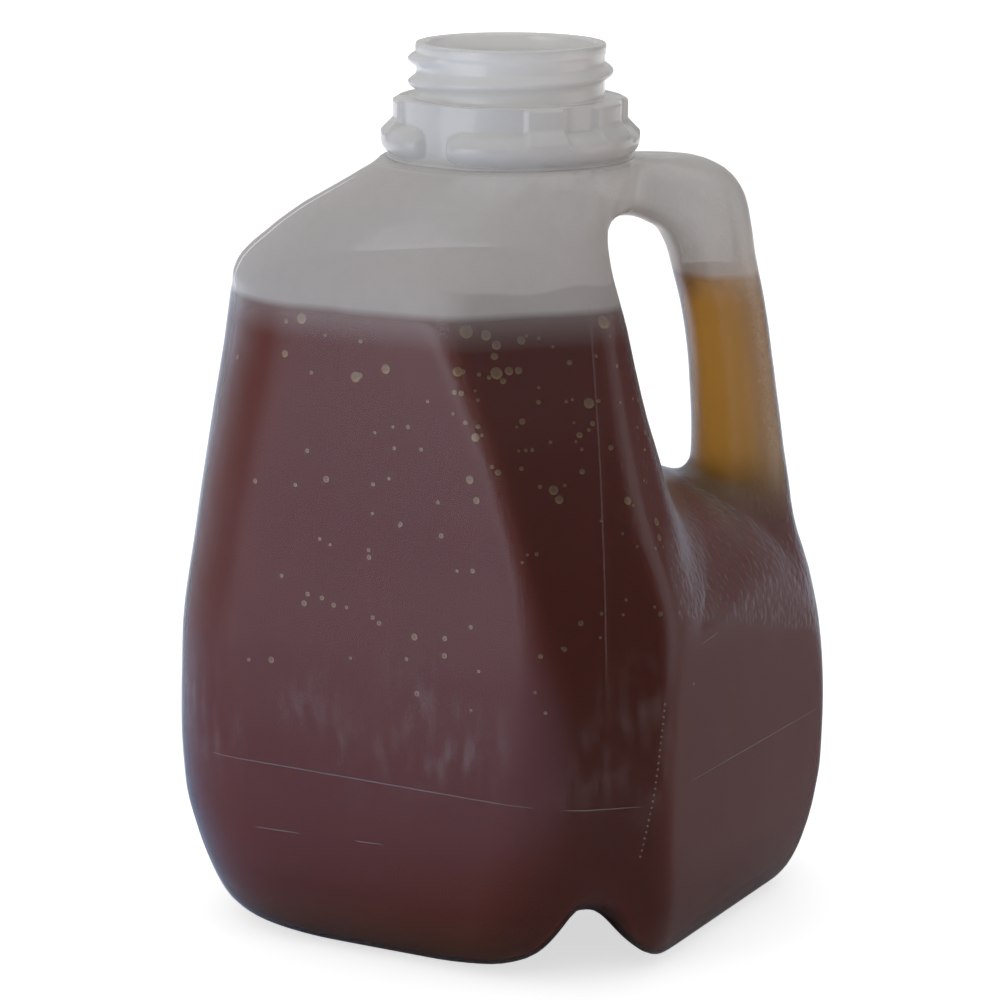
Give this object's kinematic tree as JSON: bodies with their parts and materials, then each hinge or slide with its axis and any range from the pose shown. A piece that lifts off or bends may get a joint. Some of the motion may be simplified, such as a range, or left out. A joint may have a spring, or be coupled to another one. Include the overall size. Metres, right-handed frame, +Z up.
{
  "type": "handled jug",
  "caption": "Open one-quart translucent plastic jug with a hollow side handle and a 38 mm screw neck, filled with brown liquid to just under the shoulder.",
  "frame": {"origin": "on the neck's axis, in the plane the jug stands on", "axes": "+Z up along the neck's axis, +X towards the handle; the mould parts on the plane y = 0"},
  "size_m": [0.1256, 0.1228, 0.1624],
  "materials": {
    "natural_polyethylene": "translucent, milky, satin with a fine moulded grain",
    "brown_liquid": "wet, clear dark brown, amber where it is thin"
  },
  "bodies": {
    "root": {"jug_shell": "natural_polyethylene", "liquid": "brown_liquid"}
  },
  "joints": []
}
